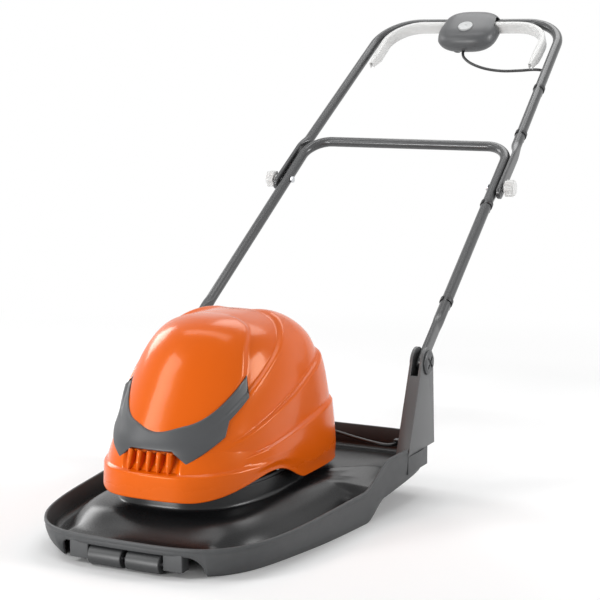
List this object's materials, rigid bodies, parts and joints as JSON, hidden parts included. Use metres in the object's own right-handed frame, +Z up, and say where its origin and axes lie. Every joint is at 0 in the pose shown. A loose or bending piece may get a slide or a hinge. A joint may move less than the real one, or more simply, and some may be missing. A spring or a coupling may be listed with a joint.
{
  "type": "hover mower",
  "caption": "Electric hover mower with a moulded hood, motor cover and visor, belt-driven blade, front rollers and a folding tube handle with bail switch lever.",
  "frame": {"origin": "on the ground under the blade axis", "axes": "+Z up, -Y to the front with the rollers, +Y to the handle, +X to the right seen from the front"},
  "size_m": [0.5272, 1.5069, 0.8409],
  "materials": {
    "hood_plastic": "satin moulded",
    "cover_plastic": "glossy moulded",
    "visor_plastic": "fine matt moulded",
    "roller_plastic": "matt moulded",
    "black_plastic": "matt moulded",
    "white_plastic": "satin moulded",
    "pale_plastic": "satin moulded",
    "tube": "satin grey enamel on steel tube",
    "steel": "zinc plated",
    "aluminium": "as cast and turned",
    "iron": "stacked laminations",
    "copper": "enamelled winding copper",
    "carbon": "pressed carbon",
    "rubber": "matt flexible sheath"
  },
  "bodies": {
    "deck": {"hood": "hood_plastic", "motor_cover": "cover_plastic", "front_visor": "visor_plastic", "cover_screws": "steel", "deck_plate": "hood_plastic", "deck_screws": "steel", "spindle_bearings": "steel", "drive_belt": "rubber", "motor_lower_bell": "aluminium", "motor_stator": "iron", "field_coils": "copper", "motor_upper_bell": "aluminium", "motor_bearings": "steel", "brush_holders": "black_plastic", "carbon_brushes": "carbon", "motor_bolts": "steel", "roller_axle": "steel", "bracket_left": "hood_plastic", "bracket_right": "hood_plastic", "bracket_screws": "steel", "pivot_bolts": "visor_plastic", "pivot_nuts": "steel", "lead_deck": "rubber", "lead_grommet": "rubber", "deck_clip": "black_plastic"},
    "blade_group": {"spindle": "steel", "spindle_pulley": "black_plastic", "spindle_nut": "steel", "impeller": "black_plastic", "blade_spacers": "pale_plastic", "blade": "steel", "blade_bolt": "steel"},
    "motor_rotor": {"armature": "iron", "commutator": "copper", "motor_shaft": "steel", "motor_fan": "black_plastic", "motor_pulley": "aluminium"},
    "roller_left": {"roller_left": "roller_plastic"},
    "roller_right": {"roller_right": "roller_plastic"},
    "lower_handle": {"lower_handle": "tube", "lower_clips": "black_plastic", "fold_bolts": "steel", "lead_lower": "rubber", "lead_pivot": "rubber"},
    "upper_handle": {"upper_handle": "tube", "upper_clips": "black_plastic", "switch_box_top": "visor_plastic", "switch_box_bottom": "visor_plastic", "box_screws": "steel", "switch_unit": "black_plastic", "lever_spring": "steel", "lead_upper": "rubber", "lead_fold": "rubber", "button_spring": "steel"},
    "knob_left": {"knob_left": "white_plastic"},
    "knob_right": {"knob_right": "white_plastic"},
    "switch_lever": {"switch_lever": "white_plastic"},
    "lock_button": {"lock_button": "pale_plastic"}
  },
  "joints": [
    {"name": "handle_pivot", "type": "hinge", "parent": "deck", "child": "lower_handle", "pos_m": [0, 0.294, 0.232], "axis": [1, 0, 0], "range_deg": [0, 140], "deforming": ["lead_pivot"]},
    {"name": "handle_fold", "type": "hinge", "parent": "lower_handle", "child": "upper_handle", "pos_m": [0, 0.69194, 0.50041], "axis": [-1, 0, 0], "range_deg": [0, 150], "deforming": ["lead_fold"]},
    {"name": "knob_left_turn", "type": "hinge", "parent": "lower_handle", "child": "knob_left", "pos_m": [0, 0.69194, 0.50041], "axis": [-1, 0, 0], "continuous": true},
    {"name": "knob_right_turn", "type": "hinge", "parent": "lower_handle", "child": "knob_right", "pos_m": [0, 0.69194, 0.50041], "axis": [1, 0, 0], "continuous": true},
    {"name": "lever_squeeze", "type": "hinge", "parent": "upper_handle", "child": "switch_lever", "pos_m": [0, 1.16901, 0.78757], "axis": [-1, 0, 0], "range_deg": [0, 12], "stiffness_Nm_per_rad": 0.8, "springref_deg": -11.46},
    {"name": "button_press", "type": "slide", "parent": "upper_handle", "child": "lock_button", "axis": [0, 0.5446, -0.8387], "range_m": [0, 0.004], "stiffness_N_per_m": 300, "springref_m": -0.004, "deforming": ["button_spring"]},
    {"name": "blade_spin", "type": "hinge", "parent": "deck", "child": "blade_group", "pos_m": [0, 0, 0], "axis": [0, 0, 1], "continuous": true},
    {"name": "motor_spin", "type": "hinge", "parent": "deck", "child": "motor_rotor", "pos_m": [0, -0.085, 0], "axis": [0, 0, 1], "continuous": true},
    {"name": "roller_left_spin", "type": "hinge", "parent": "deck", "child": "roller_left", "pos_m": [0, -0.29, 0.0154], "axis": [1, 0, 0], "continuous": true},
    {"name": "roller_right_spin", "type": "hinge", "parent": "deck", "child": "roller_right", "pos_m": [0, -0.29, 0.0154], "axis": [1, 0, 0], "continuous": true}
  ],
  "couplings": [
    {"joint": "motor_spin", "follows": "blade_spin", "ratio": 4}
  ]
}
